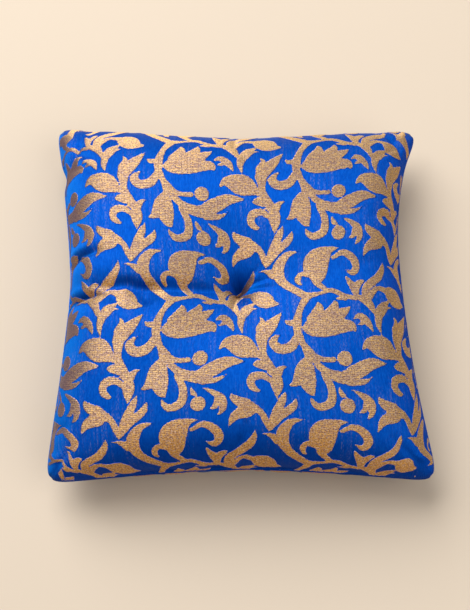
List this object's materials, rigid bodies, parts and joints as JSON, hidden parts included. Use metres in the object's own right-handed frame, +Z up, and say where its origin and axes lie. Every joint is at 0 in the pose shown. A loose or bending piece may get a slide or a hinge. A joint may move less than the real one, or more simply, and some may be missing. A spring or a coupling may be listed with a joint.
{
  "type": "singing bowl cushion",
  "caption": "Small square knife-edge cushion of blue silk brocade with a gold leaf figure, filled and tufted in the middle, lying face up.",
  "frame": {"origin": "on the surface that the cushion lies on, under the middle of its box", "axes": "+Z up out of the front panel, +Y towards the edge that is at the top of the picture, +X to its right"},
  "size_m": [0.1562, 0.1556, 0.044],
  "materials": {
    "brocade": "royal blue silk satin with a woven gold scroll-and-leaf figure",
    "thread": "dark blue sewing thread, soft sheen"
  },
  "bodies": {
    "root": {"cushion": "brocade", "tuft_stitch_top": "thread", "tuft_stitch_under": "thread"}
  },
  "joints": []
}
